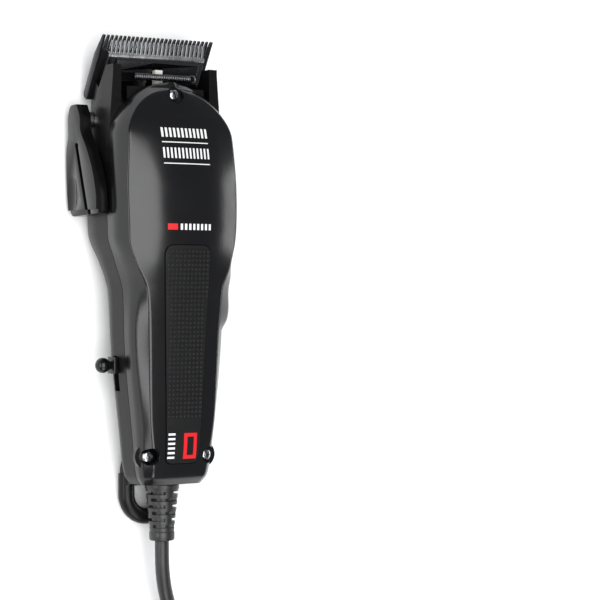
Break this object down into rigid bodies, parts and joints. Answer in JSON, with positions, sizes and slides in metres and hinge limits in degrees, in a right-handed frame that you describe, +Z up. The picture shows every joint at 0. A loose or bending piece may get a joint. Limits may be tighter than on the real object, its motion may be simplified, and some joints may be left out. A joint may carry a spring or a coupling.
{
  "type": "hair clipper",
  "caption": "Mains hair clipper with toothed blade set, taper lever, side switch, grip insert, hang loop and folded cord with plug.",
  "frame": {"origin": "middle of the flat on the back of the head that the clipper lies on", "axes": "+Y along the clipper towards the blades, +Z up out of its front cover, +X to its right side"},
  "size_m": [0.0646, 0.3637, 0.0393],
  "materials": {
    "gloss_shell": "high gloss moulded black",
    "satin_shell": "satin moulded black",
    "lever_plastic": "satin moulded black, worn a little at its edges",
    "soft_grip": "soft matte black with raised dots",
    "chrome_screw": "bright plated screw",
    "black_blade": "black coated hardened steel, bright at the teeth",
    "cutter_steel": "ground satin steel",
    "spring_steel": "bright spring wire",
    "inner_steel": "zinc plated pressed steel",
    "laminations": "stacked electrical steel sheets",
    "copper": "enamelled copper wire",
    "nylon": "natural nylon",
    "cord_sheath": "smooth black cord sheath",
    "relief_rubber": "moulded black sleeve",
    "brown_wire": "brown wire insulation",
    "blue_wire": "blue wire insulation",
    "plug_shell": "moulded black plug",
    "plug_pin": "nickel plated pin"
  },
  "bodies": {
    "housing": {"front_cover": "gloss_shell", "rear_housing": "satin_shell", "grip_insert": "soft_grip", "hang_loop": "satin_shell", "cover_screw_top": "chrome_screw", "cover_screw_left": "chrome_screw", "cover_screw_right": "chrome_screw", "fixed_blade": "black_blade", "blade_screw_left": "chrome_screw", "blade_screw_right": "chrome_screw", "core_laminations": "laminations", "coil_bobbin": "nylon", "coil_winding": "copper", "core_screw_lower": "chrome_screw", "core_screw_upper": "chrome_screw", "arm_pivot_pin": "inner_steel", "arm_spring_left": "spring_steel", "arm_spring_right": "spring_steel", "spring_nut": "inner_steel", "switch_body": "nylon", "cord_end": "cord_sheath", "cord_clamp": "nylon", "clamp_screw_left": "chrome_screw", "clamp_screw_right": "chrome_screw", "lead_wire_live": "brown_wire", "lead_wire_neutral": "blue_wire", "lead_wire_coil": "brown_wire", "strain_relief": "relief_rubber", "cord": "cord_sheath", "cord_coil": "cord_sheath", "cord_tail": "cord_sheath", "plug_body": "plug_shell", "plug_pin_left": "plug_pin", "plug_pin_right": "plug_pin"},
    "arm": {"drive_arm": "inner_steel", "armature": "laminations", "drive_finger": "nylon"},
    "taper_carriage": {"taper_slide": "inner_steel", "cutter_spring": "spring_steel"},
    "cutter": {"cutter_blade": "cutter_steel", "cutter_guide": "satin_shell"},
    "lever": {"taper_lever": "lever_plastic", "taper_shaft": "inner_steel"},
    "switch": {"switch_knob": "lever_plastic"},
    "power_screw": {"power_adjust_screw": "chrome_screw"}
  },
  "joints": [
    {"name": "arm_swing", "type": "hinge", "parent": "housing", "child": "arm", "pos_m": [0, -0.08249, 0.01294], "axis": [0, 0.0342, -0.9994], "range_deg": [-0.64, 0.64], "stiffness_Nm_per_rad": 6},
    {"name": "cutter_stroke", "type": "slide", "parent": "taper_carriage", "child": "cutter", "axis": [1, 0, 0], "range_m": [-0.00141, 0.00141]},
    {"name": "taper_lever_turn", "type": "hinge", "parent": "housing", "child": "lever", "pos_m": [0, 0.02825, 0.00767], "axis": [-1, 0, 0], "range_deg": [0, 65]},
    {"name": "taper_shift", "type": "slide", "parent": "housing", "child": "taper_carriage", "axis": [0, -0.8391, -0.544], "range_m": [0, 0.00121]},
    {"name": "switch_slide", "type": "slide", "parent": "housing", "child": "switch", "axis": [0, -0.9994, -0.0342], "range_m": [0, 0.006]},
    {"name": "power_adjust", "type": "hinge", "parent": "housing", "child": "power_screw", "pos_m": [0.0092, -0.05301, 0.01395], "axis": [1, 0, 0], "range_deg": [-180, 180]}
  ],
  "couplings": [
    {"joint": "cutter_stroke", "follows": "arm_swing", "m_per_rad": 0.126},
    {"joint": "taper_shift", "follows": "taper_lever_turn", "m_per_rad": 0.001065}
  ]
}
